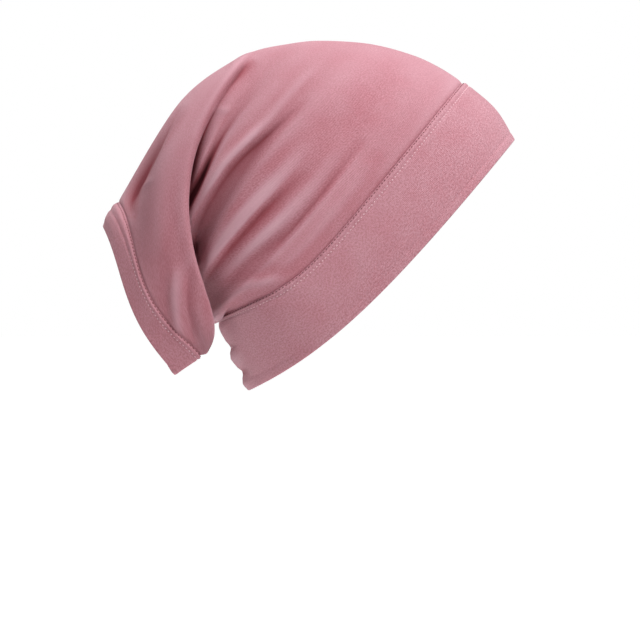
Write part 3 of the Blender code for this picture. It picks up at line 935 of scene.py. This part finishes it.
def make_stage():
    """A pale floor, even sky, a wide soft lamp overhead, and the camera level with the cap."""
    stage = bpy.context.scene.undercap_stage
    mesh_piece("floor", *floor_disc(stage.floor_drop), white_paper())
    even_sky(stage.sky)
    lamp("lamp_key", (0.62, -0.72, 1.38), 0.8, stage.key)
    lamp("lamp_overhead", (0.1, 0.1, 1.5), 0.9, stage.key * 0.38)
    lamp("lamp_behind", (-0.9, 1.3, 0.7), 1.0, stage.key * 0.1)
    camera = bpy.data.cameras.new("camera")
    camera.sensor_width = 36
    camera.lens = camera.sensor_width * stage.distance / (VIEW_SQUARES * SQUARE)
    camera.clip_start = 0.05
    camera.clip_end = 200
    eye = bpy.data.objects.new("camera", camera)
    bpy.context.collection.objects.link(eye)
    across, down = VIEW_SQUARES / 2 - SEAT_SQUARE[0], VIEW_SQUARES / 2 - SEAT_SQUARE[1]
    eye.location = (across * SQUARE, -stage.distance, -down * SQUARE)
    eye.rotation_euler = (math.pi / 2, 0, 0)
    bpy.context.scene.camera = eye
    bpy.context.scene.view_settings.view_transform = "Standard"


class UNDERCAP_OT_stage(bpy.types.Operator):
    """Adds the floor, the lights and the camera"""

    bl_idname = "undercap.stage"
    bl_label = "Stage"

    def execute(self, context):
        make_stage()
        return {"FINISHED"}


class UNDERCAP_OT_crown_tube(bpy.types.Operator):
    """Adds the gathered tube over the crown and down the tail"""

    bl_idname = "undercap.crown_tube"
    bl_label = "Crown tube"

    def execute(self, context):
        make_crown_tube()
        return {"FINISHED"}


class UNDERCAP_OT_front_band(bpy.types.Operator):
    """Adds the folded band round the face and nape"""

    bl_idname = "undercap.front_band"
    bl_label = "Front band"

    def execute(self, context):
        make_front_band()
        return {"FINISHED"}


class UNDERCAP_OT_tail_band(bpy.types.Operator):
    """Adds the folded band round the tail's mouth"""

    bl_idname = "undercap.tail_band"
    bl_label = "Tail band"

    def execute(self, context):
        make_tail_band()
        return {"FINISHED"}


class UNDERCAP_OT_stitches(bpy.types.Operator):
    """Adds two rows of stitches at each seam"""

    bl_idname = "undercap.stitches"
    bl_label = "Stitches"

    def execute(self, context):
        stitch = context.scene.undercap_stitches
        pale = thread_material("seam_thread", stitch.thread)
        # The sunk row has the thread painted dark, as shade in the seam.
        deep = thread_material("shaded_sunk_thread", stitch.seam_shade_thread)
        face = BAND_WALL - JERSEY_WALL / 2
        bands = (("face", 0, -2, FRONT_BAND_WIDTH), ("tail", LAST, 1, TAIL_BAND_WIDTH))
        for band, seam, way, width in bands:
            make_stitches(f"{band}_seam_stitches", seam + way * SUNK_ROW / width,
                          face - 0.0007, deep)
            make_stitches(f"{band}_top_stitches", seam + way * stitch.second_row / width,
                          face - 0.0002, pale)
        return {"FINISHED"}


class UNDERCAP_PT_panel(bpy.types.Panel):
    """Lists the settings and the pieces"""

    bl_idname = "UNDERCAP_PT_panel"
    bl_label = "Jersey under-cap"
    bl_space_type = "VIEW_3D"
    bl_region_type = "UI"
    bl_category = "Under-cap"

    def draw(self, context):
        for group in (context.scene.undercap_cloth, context.scene.undercap_stitches,
                      context.scene.undercap_stage):
            box = self.layout.box()
            for name in group.__annotations__:
                box.prop(group, name)
        for operator in OPERATORS:
            self.layout.operator(operator.bl_idname)


OPERATORS = (UNDERCAP_OT_stage, UNDERCAP_OT_front_band, UNDERCAP_OT_crown_tube,
             UNDERCAP_OT_tail_band, UNDERCAP_OT_stitches)
CLASSES = (ClothSettings, StitchSettings, StageSettings, *OPERATORS, UNDERCAP_PT_panel)


def register():
    """Registers the classes and hangs the settings on the scene."""
    for thing in CLASSES:
        bpy.utils.register_class(thing)
    bpy.types.Scene.undercap_cloth = bpy.props.PointerProperty(type=ClothSettings)
    bpy.types.Scene.undercap_stitches = bpy.props.PointerProperty(type=StitchSettings)
    bpy.types.Scene.undercap_stage = bpy.props.PointerProperty(type=StageSettings)


def unregister():
    """Takes the settings and the classes away again."""
    for name in ("undercap_cloth", "undercap_stitches", "undercap_stage"):
        delattr(bpy.types.Scene, name)
    for thing in reversed(CLASSES):
        bpy.utils.unregister_class(thing)


def main():
    """Makes the stage and every piece."""
    register()
    bpy.ops.undercap.stage()
    bpy.ops.undercap.front_band()
    bpy.ops.undercap.crown_tube()
    bpy.ops.undercap.tail_band()
    bpy.ops.undercap.stitches()


if __name__ == "__main__":
    main()
